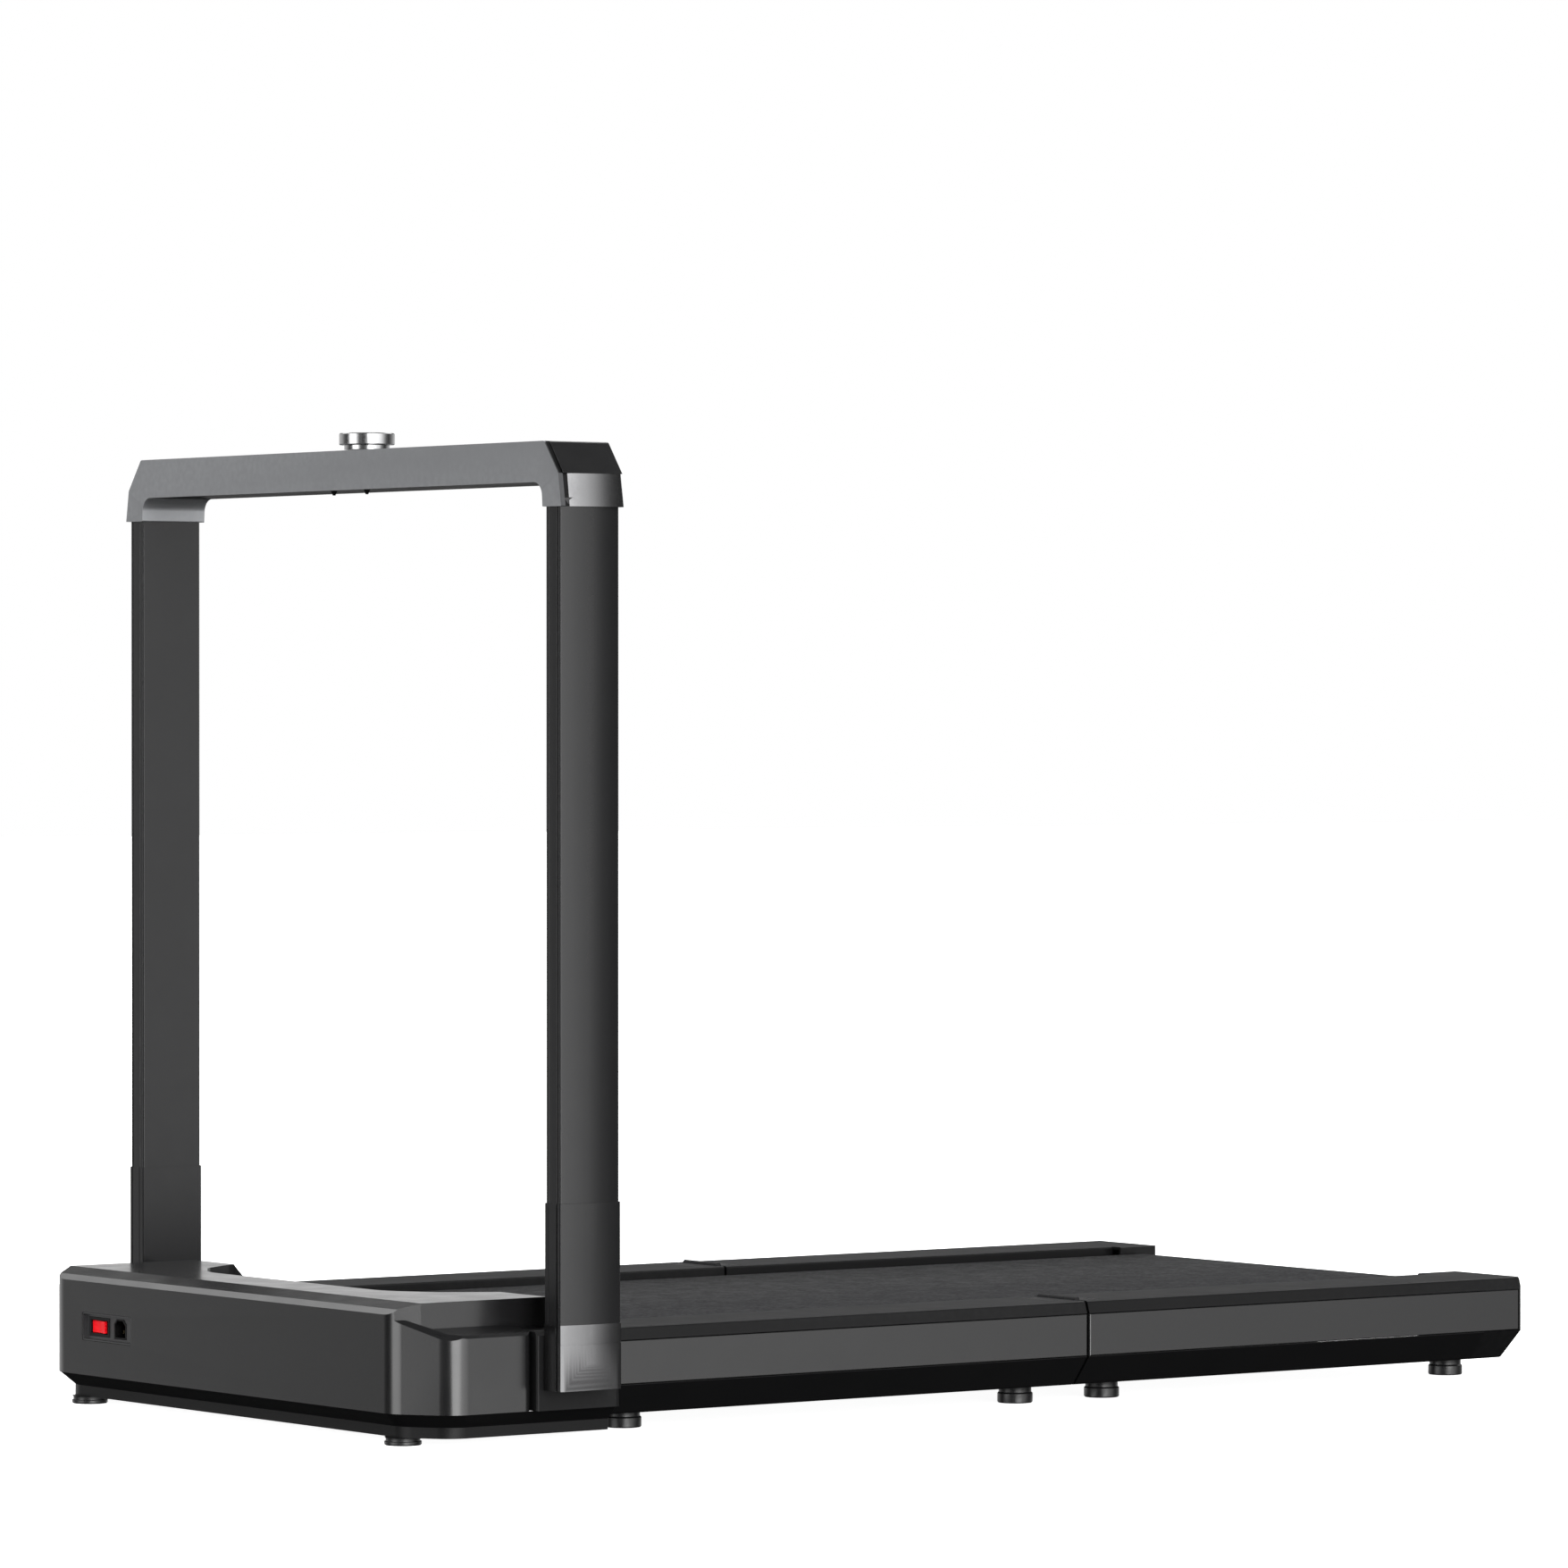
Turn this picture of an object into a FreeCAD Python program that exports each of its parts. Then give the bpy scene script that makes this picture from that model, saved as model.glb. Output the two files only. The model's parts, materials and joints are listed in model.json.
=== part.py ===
import FreeCAD, Part
import os
from math import radians, sin, sqrt, tan

# A folding walking treadmill. Millimetres. +Z is up and X runs across. Shapes are drawn with
# Y = 0 at the hood's front face and Y growing towards the deck's rear end. save() moves them so
# that the origin is on the floor, under the middle of the whole object. Left is +X.
V = FreeCAD.Vector
X_AXIS = V(1, 0, 0)
Y_AXIS = V(0, 1, 0)
Z_AXIS = V(0, 0, 1)
SIDES = ((1, "left"), (-1, "right"))

# overall
LENGTH = 1310.0
DECK_HALF = 337.0
RAIL_TOP = 101.0
WALL = 3.0
GAP = 0.3

# hood
HOOD_FRONT_HALF = 287.0
HOOD_CHAMFER = 36.0
HOOD_SIDE_END = 121.5
HOOD_CORNER_RADII = (34, 30, 9)
HOOD_TOP = 129.5
HOOD_BOTTOM = 30.0
HOOD_ARM_OUT = 302.0
HOOD_ARM_IN = 230.0
HOOD_ARM_END = 192.0
HOOD_LIP_Z = 97.0
HOOD_REAR = 79.0
TRAY_BOTTOM = 7.5
TRAY_LIP = 17.5
TRAY_BEVEL = 15.0
FOOT_SCREW_R = 3.0
FOOT_STEM_R = 2.95

# switch recess, rocker and inlet, in the hood's front
RECESS_X = (-243.5, -154.5)
RECESS_Z = (63.0, 90.0)
RECESS_DEPTH = 4.0
ROCKER_FRAME_X = (-235.0, -199.5)
ROCKER_FRAME_Z = (67.5, 86.0)
ROCKER_X = (-231.5, -202.5)
ROCKER_Z = (71.0, 82.5)
ROCKER_FACE_Y = 5.0
ROCKER_PIVOT_Y = 11.0
ROCKER_TIP = 8.0
ROCKER_BARREL_R = 3.5
INLET_X = (-189.5, -171.0)
INLET_Z = (68.7, 84.5)
INLET_WALL = 1.6
INLET_CORNER = 4.5
INLET_PIN_Y = 10.5

# deck
SEAM = 761.5
SEAM_GAP = 3.0
BELT_GAP = 1.0
PIVOT_ZONE = (122.0, 215.0)
RAIL_START = 216.0
RAIL_IN = 250.0
LIP_Z = 89.0
PANEL_Z = 49.0
BELLY_Z = 20.0
BELLY_HALF = 314.0
END_CAP_START = 1262.0
PANEL_END = 1306.2
END_CAP_IN = 236.0
FRAME_RAIL = (258.0, 288.0)
FRAME_Z = (45.0, 85.0)
BOLT_X = 273.0
BOLT_ACCESS_R = 6.5
BOARD_Z = 79.0
BOARD_HALF = 248.0
BEAM_Z = 53.5

# belt and rollers
BELT_HALF = 233.0
BELT_TOP = 93.5
BELT_THICK = 2.0
ROLLER_R = 20.0
ROLLER_HALF = 234.0
ROLLER_Z = BELT_TOP - BELT_THICK - GAP - ROLLER_R
FRONT_ROLLER_Y = 101.0
REAR_ROLLER_Y = 1286.0
AXLE_R = 6.0
BEARING_R = 14.0
RUNNING_CLEARANCE = 0.05

# motor
MOTOR_Y = 38.0
MOTOR_Z = 55.0
MOTOR_R = 29.0
MOTOR_X = (120.0, 232.0)
PULLEY_X = (241.0, 254.0)
CONTROLLER_X = (-110.0, 60.0)
MOTOR_PULLEY_R = 11.0
ROLLER_PULLEY_R = 24.0
DRIVE_BELT_THICK = 2.5

# handrail
PIVOT_Y = 164.5
PIVOT_Z = 78.0
PIVOT_R = 8.0
POST_IN = 343.7
POST_OUT = 366.0
POST_BULGE = 4.0
POST_Y = (130.5, 196.0)
POST_EDGE = 1.2
POST_WALL = 2.2
POST_SOCKET = 8.0
KNUCKLE_Z = (48.7, 108.5)
KNUCKLE_BAND_Z = 91.0
SLEEVE_TOP = 218.0
HANDRAIL_TOP = 905.0
BAR_BOTTOM = 868.0
BAR_Y = (128.5, 199.5)
BAR_RADII = (4, 4, 0.5, 1, 13)
CORNER_X = 344.0
SLANT_END = (366.3, 875.5)
LEG_END = (371.0, 845.6)
LEG_INNER = 341.5
SKIN = 3.0
LEG_PLATE = 5.0
SLANT_PLATE = 1.2
GROOVE_WIDTH = 5.0
CAP_BULGE = (372.6, 368.6)

# knob
KNOB_R = 26.2
KNOB_Z = (911.0, 922.0)
NECK_R = 21.4
KNOB_TRAVEL = 1.2
KNOB_SHAFT_R = 5.0

# console, in the crossbar
BOARD_SPACE_X = (-20.0, 175.0)
LENS_X = (45.0, 165.0)
LENS_Y = (148.0, 181.0)
PEG_X = 28.0
PEG_Y = 146.0

# hinge at the seam, axis just above the rail tops
HINGE_Z = 101.3
HINGE_R = 2.8
HINGE_PIN_R = 1.3
HINGE_LEAF = 27.0
HINGE_X = ((262.0, 280.0), (280.4, 301.6), (302.0, 320.0))

FRONT_FEET = ((270.0, 25.0), (240.0, 289.0), (250.0, 741.0))
REAR_FEET = ((250.0, 847.0), (250.0, 1286.0))
FOOT_R = 17.0


# ---- helpers ----

def box(x, y, z):
    return Part.makeBox(x[1] - x[0], y[1] - y[0], z[1] - z[0], V(x[0], y[0], z[0]))


def rod(x, y, z, r):
    """A cylinder along X."""
    return Part.makeCylinder(r, x[1] - x[0], V(x[0], y, z), X_AXIS)


def disc(x, y, z, r):
    """A cylinder along Z."""
    return Part.makeCylinder(r, z[1] - z[0], V(x, y, z[0]), Z_AXIS)


def outline(points, radius, place):
    """A closed wire through 2-D points, with an arc of the given radius at each corner."""
    count = len(points)
    radii = [radius] * count if isinstance(radius, (int, float)) else radius
    corners = []
    for i, r in enumerate(radii):
        corner = V(*points[i], 0)
        before = (V(*points[i - 1], 0) - corner).normalize()
        after = (V(*points[(i + 1) % count], 0) - corner).normalize()
        half = before.getAngle(after) / 2
        middle = corner
        if r:
            middle = corner + (before + after).normalize() * (r / sin(half) - r)
        corners.append((corner + before * (r / tan(half)), middle, corner + after * (r / tan(half))))
    edges = []
    for i, (start, middle, end) in enumerate(corners):
        if radii[i]:
            edges.append(Part.Arc(place(start), place(middle), place(end)).toShape())
        following = corners[(i + 1) % count][0]
        if (following - end).Length > 1e-6:
            edges.append(Part.LineSegment(place(end), place(following)).toShape())
    return Part.Wire(Part.__sortEdges__(edges))


def across(points, x, radius=0):
    """A (y, z) outline drawn out along X."""
    wire = outline(points, radius, lambda p: V(x[0], p.x, p.y))
    return Part.Face(wire).extrude(V(x[1] - x[0], 0, 0))


def along(points, y, radius=0):
    """An (x, z) outline drawn out along Y."""
    wire = outline(points, radius, lambda p: V(p.x, y[0], p.y))
    return Part.Face(wire).extrude(V(0, y[1] - y[0], 0))


def upright(points, z, radius=0):
    """An (x, y) outline drawn out along Z."""
    wire = outline(points, radius, lambda p: V(p.x, p.y, z[0]))
    return Part.Face(wire).extrude(V(0, 0, z[1] - z[0]))


def beyond(point, normal):
    """Everything on the outer side of a plane, as one large block."""
    size = 3000.0
    block = Part.makeBox(size, size, size, V(-size / 2, -size / 2, 0))
    turn = FreeCAD.Rotation(Z_AXIS, V(*normal))
    block.Placement = FreeCAD.Placement(V(*point), turn)
    return block


def mirrored(shape):
    return shape.mirror(V(0, 0, 0), X_AXIS)


def on_side(shape, side):
    return shape if side > 0 else mirrored(shape)


def both_sides(*shapes):
    return list(shapes) + [mirrored(shape) for shape in shapes]


def plan_both(half):
    """A half plan from the front centre to the rear centre, completed by its mirror image."""
    return half + [(-x, y) for x, y in reversed(half)]


def save(name, *shapes):
    shape = shapes[0] if len(shapes) == 1 else Part.makeCompound(list(shapes))
    shape = shape.copy()
    shape.translate(V(0, -LENGTH / 2, 0))
    solids = shape.Solids
    if not solids or min(solid.Volume for solid in solids) <= 0:
        raise ValueError(name + " is not a proper solid")
    shape.exportStep("parts/" + name + ".step")


# ---- motor hood ----

def hood_plan(wall):
    """Half of the hood's plan. The rear edge curves back into the two side arms."""
    slant = 0.35 * wall
    return [
        (HOOD_FRONT_HALF - slant, wall),
        (DECK_HALF - wall, HOOD_CHAMFER + wall / 2),
        (DECK_HALF - wall, HOOD_SIDE_END - wall),
        (HOOD_ARM_OUT - wall, HOOD_SIDE_END - wall),
        (HOOD_ARM_OUT - wall, HOOD_ARM_END - wall),
        (HOOD_ARM_IN + wall, HOOD_ARM_END - wall),
        (HOOD_ARM_IN - 2 + wall, 160),
        (196 + 0.8 * wall, 111 - 0.7 * wall),
        (150, HOOD_REAR + 3 - wall),
    ]


def outside_riser(wall):
    """The space outboard of the step that runs back along each arm."""
    plan = [
        (HOOD_FRONT_HALF - wall, -1),
        (HOOD_ARM_OUT - wall, 23 + wall),
        (HOOD_ARM_OUT - wall, 300),
        (DECK_HALF + 20, 300),
        (DECK_HALF + 20, -1),
    ]
    return upright(plan, (60, HOOD_TOP + 10))


def hood_form(wall):
    """The hood's outer form, or its cavity when wall is more than 0."""
    corners = [radius - wall for radius in HOOD_CORNER_RADII]
    radii = corners + ([5, 3, 3, 43, 37, 60] if wall else [2, 6, 6, 40, 40, 60])
    plan = plan_both(hood_plan(wall))
    form = upright(plan, (HOOD_BOTTOM - wall, HOOD_TOP - wall), radii + radii[::-1])
    shoulder = outside_riser(wall).common(beyond((HOOD_ARM_OUT, 0, 106 - wall), (5, 0, 35)))
    shoulder = shoulder.common(beyond((HOOD_FRONT_HALF, 0, 119 - wall), (185, 395, 1295)))
    cuts = [
        beyond((0, wall, 119), (0, -1, 1)),
        beyond((0, 5 + 0.7 * wall, 124), (0, -5.5, 18)),
        beyond((0, 160 - 0.4 * wall, HOOD_TOP), (0, 1, 1)),
    ]
    return form.cut(cuts + both_sides(shoulder))


def hood_cover():
    ramp_edge = beyond((HOOD_FRONT_HALF - 1.8, 1.2, 116.7), (754, -497, 948))
    edge_cuts = both_sides(
        beyond((DECK_HALF, 0, 98.5), (1, 0, 1)),
        ramp_edge.common(outside_riser(0)),
    )
    belt_space = [
        box((-300, 300), (HOOD_REAR - 1, 300), (0, HOOD_LIP_Z)),
        box((-303, 303), (HOOD_SIDE_END, 300), (0, HOOD_LIP_Z)),
    ]
    recess = along(rounded_recess(0), (-1, WALL + 1), 3)
    return hood_form(0).cut(edge_cuts).cut(hood_form(WALL)).cut(belt_space).cut(recess)


def rounded_recess(inset):
    """The outline of the switch recess, on the right-hand side of the hood's front."""
    x = (RECESS_X[0] + inset, RECESS_X[1] - inset)
    z = (RECESS_Z[0] + inset, RECESS_Z[1] - inset)
    return [(x[0], z[0]), (x[1], z[0]), (x[1], z[1]), (x[0], z[1])]


def hood_tray():
    """The black tub under the hood: a bevel in from its rim, then an upright lip to its flat bottom."""
    def plan(inset, rear):
        half = [
            (HOOD_FRONT_HALF - 0.35 * inset, inset),
            (DECK_HALF - inset, HOOD_CHAMFER + inset / 2),
            (DECK_HALF - inset, rear),
        ]
        return plan_both(half)

    def tub(inset, low, high):
        radii = [HOOD_CORNER_RADII[0], HOOD_CORNER_RADII[1], 2]
        radii = radii + radii[::-1]
        floor_plan = plan(TRAY_BEVEL + inset, PIVOT_ZONE[1])
        top = outline(plan(1 + inset, PIVOT_ZONE[1]), radii, lambda p: V(p.x, p.y, high))
        bottom = outline(floor_plan, radii, lambda p: V(p.x, p.y, TRAY_LIP))
        return Part.makeLoft([bottom, top], True, True).fuse(upright(floor_plan, (low, TRAY_LIP), radii))

    rim_z = HOOD_BOTTOM - GAP
    shell = tub(0, TRAY_BOTTOM, rim_z).cut(tub(WALL, TRAY_BOTTOM + WALL, rim_z + 0.1))
    return shell.cut(foot_screw_holes(FRONT_FEET[:1]))


def foot_screw_holes(feet):
    """Holes for the feet's own screws, straight up through a floor."""
    return [disc(side * x, y, (0, 60), FOOT_SCREW_R) for x, y in feet for side, _ in SIDES]


# ---- power switch and inlet ----

def switch_bezel():
    """A shallow dished plate in the hood's front, with openings for the rocker and the inlet."""
    plate = along(rounded_recess(GAP), (0.4, 7), 2.7)
    dish = along(rounded_recess(1.6), (0, RECESS_DEPTH), 1.6)
    flange = along(rounded_recess(-3), (WALL + GAP, 7), 4)
    rocker_hole = box(ROCKER_FRAME_X, (0, 30), ROCKER_FRAME_Z)
    inlet_hole = along(inlet_outline(INLET_WALL + 0.1), (0, 30))
    return plate.fuse(flange).cut([dish, rocker_hole, inlet_hole])


def rocker_frame():
    """The black snap-in housing round the red rocker."""
    inner_x = (ROCKER_X[0] - 0.5, ROCKER_X[1] + 0.5)
    inner_z = (ROCKER_Z[0] - 0.5, ROCKER_Z[1] + 0.5)
    x = (ROCKER_FRAME_X[0] + 0.1, ROCKER_FRAME_X[1] - 0.1)
    z = (ROCKER_FRAME_Z[0] + 0.1, ROCKER_FRAME_Z[1] - 0.1)
    return box(x, (RECESS_DEPTH - 1, 26), z).cut(box(inner_x, (0, 19), inner_z))


def power_rocker():
    """Two flats in a shallow V, tipped to one side about an upright axis."""
    middle = (ROCKER_X[0] + ROCKER_X[1]) / 2
    half = (ROCKER_X[1] - ROCKER_X[0]) / 2 - 0.6
    drop = half * tan(radians(ROCKER_TIP))
    plan = [
        (middle - half, ROCKER_FACE_Y - drop),
        (middle, ROCKER_FACE_Y),
        (middle + half, ROCKER_FACE_Y - drop),
        (middle + half - 2, ROCKER_FACE_Y + 3),
        (middle + 3, ROCKER_PIVOT_Y + 4),
        (middle - 3, ROCKER_PIVOT_Y + 4),
        (middle - half + 2, ROCKER_FACE_Y + 3),
    ]
    rocker = upright(plan, ROCKER_Z).fuse(disc(middle, ROCKER_PIVOT_Y, ROCKER_Z, ROCKER_BARREL_R))
    rocker.rotate(V(middle, ROCKER_PIVOT_Y, 0), Z_AXIS, -ROCKER_TIP)
    return rocker


def inlet_outline(grow):
    """The mains inlet's outline, a rectangle with its two upper corners cut."""
    x = (INLET_X[0] - grow, INLET_X[1] + grow)
    z = (INLET_Z[0] - grow, INLET_Z[1] + grow)
    cut = INLET_CORNER
    return [(x[0], z[0]), (x[1], z[0]), (x[1], z[1] - cut), (x[1] - cut, z[1]),
            (x[0] + cut, z[1]), (x[0], z[1] - cut)]


def inlet_socket():
    body = along(inlet_outline(INLET_WALL), (RECESS_DEPTH - 0.6, 28))
    return body.cut(along(inlet_outline(0), (0, 22)))


def inlet_pins():
    """Three blades, the earth one higher than the other two."""
    middle = (INLET_X[0] + INLET_X[1]) / 2
    low = INLET_Z[0] + 5
    places = ((middle - 5, low), (middle + 5, low), (middle, low + 4))
    return [box((x - 1, x + 1), (INLET_PIN_Y, 21.9), (z - 2, z + 2)) for x, z in places]


# ---- motor, drive and controller ----

def motor_housing():
    """A can with cooling slots round its rear end and a bore for the shaft."""
    can = rod(MOTOR_X, MOTOR_Y, MOTOR_Z, MOTOR_R)
    boss = rod((MOTOR_X[1], MOTOR_X[1] + 4), MOTOR_Y, MOTOR_Z, 11)
    cavity = rod((MOTOR_X[0] + 4, MOTOR_X[1] - 5), MOTOR_Y, MOTOR_Z, MOTOR_R - 4)
    bore = rod((MOTOR_X[0] + 2, MOTOR_X[1] + 10), MOTOR_Y, MOTOR_Z, 4 + RUNNING_CLEARANCE)
    slots = []
    slot_x = (MOTOR_X[0] + 8, MOTOR_X[0] + 34)
    for i in range(10):
        slot = box(slot_x, (MOTOR_Y - 2, MOTOR_Y + 2), (MOTOR_Z + 18, MOTOR_Z + 40))
        slot.rotate(V(0, MOTOR_Y, MOTOR_Z), X_AXIS, 36 * i)
        slots.append(slot)
    return can.fuse(boss).cut([cavity, bore] + slots)


def motor_rotor():
    """The shaft with its lamination stack and a fan disc."""
    shaft = rod((MOTOR_X[0] + 3, PULLEY_X[1] + 1), MOTOR_Y, MOTOR_Z, 4)
    stack = rod((MOTOR_X[0] + 44, MOTOR_X[1] - 14), MOTOR_Y, MOTOR_Z, MOTOR_R - 6)
    fan = rod((MOTOR_X[0] + 14, MOTOR_X[0] + 26), MOTOR_Y, MOTOR_Z, MOTOR_R - 8)
    return shaft.fuse([stack, fan])


def pulley(y, z, radius, bore):
    """A grooved wheel for the ribbed drive belt, with a flange on each side."""
    wheel = rod(PULLEY_X, y, z, radius)
    flanges = [rod((x, x + 1.2), y, z, radius + 3) for x in (PULLEY_X[0], PULLEY_X[1] - 1.2)]
    return wheel.fuse(flanges).cut(rod((200, 300), y, z, bore))


def motor_cradle():
    """A saddle on the tray floor that the motor is strapped down to."""
    saddle = box((140, 215), (20, 64), (TRAY_BOTTOM + WALL, 42))
    strap = rod((170, 185), MOTOR_Y, MOTOR_Z, MOTOR_R + 2.5)
    return saddle.fuse(strap).cut(rod((100, 300), MOTOR_Y, MOTOR_Z, MOTOR_R))


def belt_loop(x, first, second, thickness):
    """A belt round two wheels; first and second are (y, z, radius)."""
    def hull(grow):
        (y1, z1, r1), (y2, z2, r2) = first, second
        reach = sqrt((y2 - y1) ** 2 + (z2 - z1) ** 2)
        forward = V((y2 - y1) / reach, (z2 - z1) / reach, 0)
        left = V(-forward.y, forward.x, 0)
        tilt = (r1 - r2) / reach
        rise = sqrt(1 - tilt * tilt)
        ends = []
        for sign in (1, -1):
            normal = forward * tilt + left * (sign * rise)
            ends.append((V(y1, z1, 0) + normal * (r1 + grow), V(y2, z2, 0) + normal * (r2 + grow)))
        (a1, a2), (b1, b2) = ends
        flat = across([(a1.x, a1.y), (a2.x, a2.y), (b2.x, b2.y), (b1.x, b1.y)], x)
        return flat.fuse([rod(x, y1, z1, r1 + grow), rod(x, y2, z2, r2 + grow)])
    return hull(thickness).cut(hull(0))


def controller_box():
    case = box(CONTROLLER_X, (14, 66), (22, 86))
    lid_step = box((CONTROLLER_X[0] + 4, CONTROLLER_X[1] - 4), (17, 63), (86, 89))
    foot_z = (TRAY_BOTTOM + WALL, 22)
    feet = [box((x, x + 16), (21, 62), foot_z) for x in (CONTROLLER_X[0], CONTROLLER_X[1] - 16)]
    return case.fuse([lid_step] + feet)


def heat_sink():
    """Fins on the lid of the controller box."""
    base = box((CONTROLLER_X[0] + 8, CONTROLLER_X[1] - 8), (18, 58), (89, 92))
    pitch = (CONTROLLER_X[1] - CONTROLLER_X[0] - 19) / 14
    starts = [CONTROLLER_X[0] + 8 + i * pitch for i in range(15)]
    return base.fuse([box((x, x + 3), (18, 58), (92, 106)) for x in starts])


# ---- rollers ----

def roller_tube(y):
    """The crowned tube, with a step at each end for its bearing."""
    tube = rod((-ROLLER_HALF, ROLLER_HALF), y, ROLLER_Z, ROLLER_R)
    bore = rod((-300, 300), y, ROLLER_Z, ROLLER_R - 4)
    end = rod((ROLLER_HALF - 12, ROLLER_HALF - 2), y, ROLLER_Z, ROLLER_R - 3)
    core = rod((200, 300), y, ROLLER_Z, BEARING_R)
    return tube.cut(bore).fuse(both_sides(end)).cut(both_sides(core))


def roller_bearings(y):
    def bearing(x):
        ring = rod(x, y, ROLLER_Z, BEARING_R)
        return ring.cut(rod((-300, 300), y, ROLLER_Z, AXLE_R + RUNNING_CLEARANCE))
    end = (ROLLER_HALF - 11, ROLLER_HALF - 3)
    return [bearing(end), bearing((-end[1], -end[0]))]


def roller_axle(y):
    return rod((-FRAME_RAIL[1] - 3, FRAME_RAIL[1] + 3), y, ROLLER_Z, AXLE_R)


def roller_pulley():
    """The driven pulley, with a hub that plugs into the roller's end."""
    hub = rod((ROLLER_HALF - 2.5, PULLEY_X[0]), FRONT_ROLLER_Y, ROLLER_Z, 12)
    wheel = pulley(FRONT_ROLLER_Y, ROLLER_Z, ROLLER_PULLEY_R, 0.1)
    return wheel.fuse(hub).cut(rod((200, 300), FRONT_ROLLER_Y, ROLLER_Z, AXLE_R + 0.4))


# ---- deck ----

def half_span(rear):
    """Start and end of one deck half, from the seam outwards."""
    return (SEAM + SEAM_GAP / 2, END_CAP_START) if rear else (RAIL_START, SEAM - SEAM_GAP / 2)


def walking_belt(rear):
    """Top run, wrap round the roller and lower run, as far as the seam."""
    roller_y = REAR_ROLLER_Y if rear else FRONT_ROLLER_Y
    loop = belt_loop(
        (-BELT_HALF, BELT_HALF),
        (FRONT_ROLLER_Y, ROLLER_Z, ROLLER_R + GAP),
        (REAR_ROLLER_Y, ROLLER_Z, ROLLER_R + GAP),
        BELT_THICK,
    )
    far = 2 * (roller_y - SEAM)
    start, end = sorted((SEAM + (BELT_GAP if rear else -BELT_GAP) / 2, SEAM + far))
    return loop.common(box((-300, 300), (start, end), (0, 200)))


def deck_board(rear):
    """The slippery board that carries the belt, on the crossbeams."""
    seam_end = SEAM + (2 if rear else -2)
    inward = 6 if rear else -6
    roller_end = REAR_ROLLER_Y - 26 if rear else FRONT_ROLLER_Y + 26
    top = BELT_TOP - BELT_THICK
    section = [
        (seam_end, BOARD_Z), (seam_end, top - 3), (seam_end + inward, top), (roller_end, top),
        (roller_end, BOARD_Z),
    ]
    return across(section, (-BOARD_HALF, BOARD_HALF))


def frame_rails(rear):
    """Two rectangular steel tubes, with holes for the roller axle."""
    start, end = (SEAM + 2, 1300) if rear else (68, SEAM - 2)
    roller_y = REAR_ROLLER_Y if rear else FRONT_ROLLER_Y
    tube = box(FRAME_RAIL, (start, end), FRAME_Z)
    inside_x = (FRAME_RAIL[0] + 2, FRAME_RAIL[1] - 2)
    inside = box(inside_x, (start - 1, end + 1), (FRAME_Z[0] + 2, FRAME_Z[1] - 2))
    axle_hole = rod((200, 300), roller_y, ROLLER_Z, AXLE_R)
    return both_sides(tube.cut([inside, axle_hole]))


def crossbeams(rear):
    """Square tubes between the frame rails, between the belt's two runs."""
    places = (SEAM + 20, 950, 1120, 1225) if rear else (150, 330, 540, SEAM - 50)
    beams = []
    for y in places:
        z = (BEAM_Z, BOARD_Z)
        beam = box((-FRAME_RAIL[0], FRAME_RAIL[0]), (y, y + 30), z)
        inside = box((-300, 300), (y + 2, y + 28), (z[0] + 2, z[1] - 2))
        beams.append(beam.cut(inside))
    return beams


def rail_cover(rear):
    """The top of one side rail: an inner wall, a flat top and an outer lip."""
    start, end = half_span(rear)
    section = [
        (RAIL_IN, RAIL_TOP), (333, RAIL_TOP), (DECK_HALF, LIP_Z), (DECK_HALF - 3.3, LIP_Z),
        (330.5, RAIL_TOP - WALL), (RAIL_IN + WALL, RAIL_TOP - WALL), (RAIL_IN + WALL, 79.5), (RAIL_IN, 79.5),
    ]
    cover = along(section, (start, end), [2, 3, 0.5, 0.5, 1, 0.5, 0.5, 0.5])
    if not rear:
        inner = [(RAIL_IN, RAIL_TOP), (HOOD_ARM_OUT, RAIL_TOP), (HOOD_ARM_OUT, RAIL_TOP - WALL),
                 (RAIL_IN + WALL, RAIL_TOP - WALL), (RAIL_IN + WALL, 79.5), (RAIL_IN, 79.5)]
        tongue = along(inner, (HOOD_ARM_END + 1, start), [2, 0.2, 0.2, 0.5, 0.5, 0.5])
        cover = cover.fuse(tongue).removeSplitter()
    leaf = hinge_leaf_span(rear)
    pocket = box((HINGE_X[0][0] - 1, HINGE_X[2][1] + 1), (leaf[0] - 0.5, leaf[1] + 0.5), (90, 110))
    barrel = rod((HINGE_X[0][0] - 1, HINGE_X[2][1] + 1), SEAM, HINGE_Z, HINGE_R + 1.2)
    return cover.cut([pocket, barrel])


def side_panel(rear):
    """The outer side of one rail: a channel with its back to the outside."""
    start = half_span(rear)[0]
    end = PANEL_END if rear else half_span(rear)[1]
    top = LIP_Z - GAP
    flange = 322
    back = DECK_HALF - WALL
    section = [
        (DECK_HALF, PANEL_Z), (DECK_HALF, top), (flange, top), (flange, top - WALL),
        (back, top - WALL), (back, PANEL_Z + WALL), (flange, PANEL_Z + WALL), (flange, PANEL_Z),
    ]
    panel = along(section, (start, end), [1, 1, 0.5, 0.5, 0.5, 0.5, 0.5, 0.5])
    plan = [(300, start), (DECK_HALF, start), (DECK_HALF, end), (300, end)]
    return panel.common(upright(plan, (0, 200), [0, 2 if rear else 0.5, 1, 0]))


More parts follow.
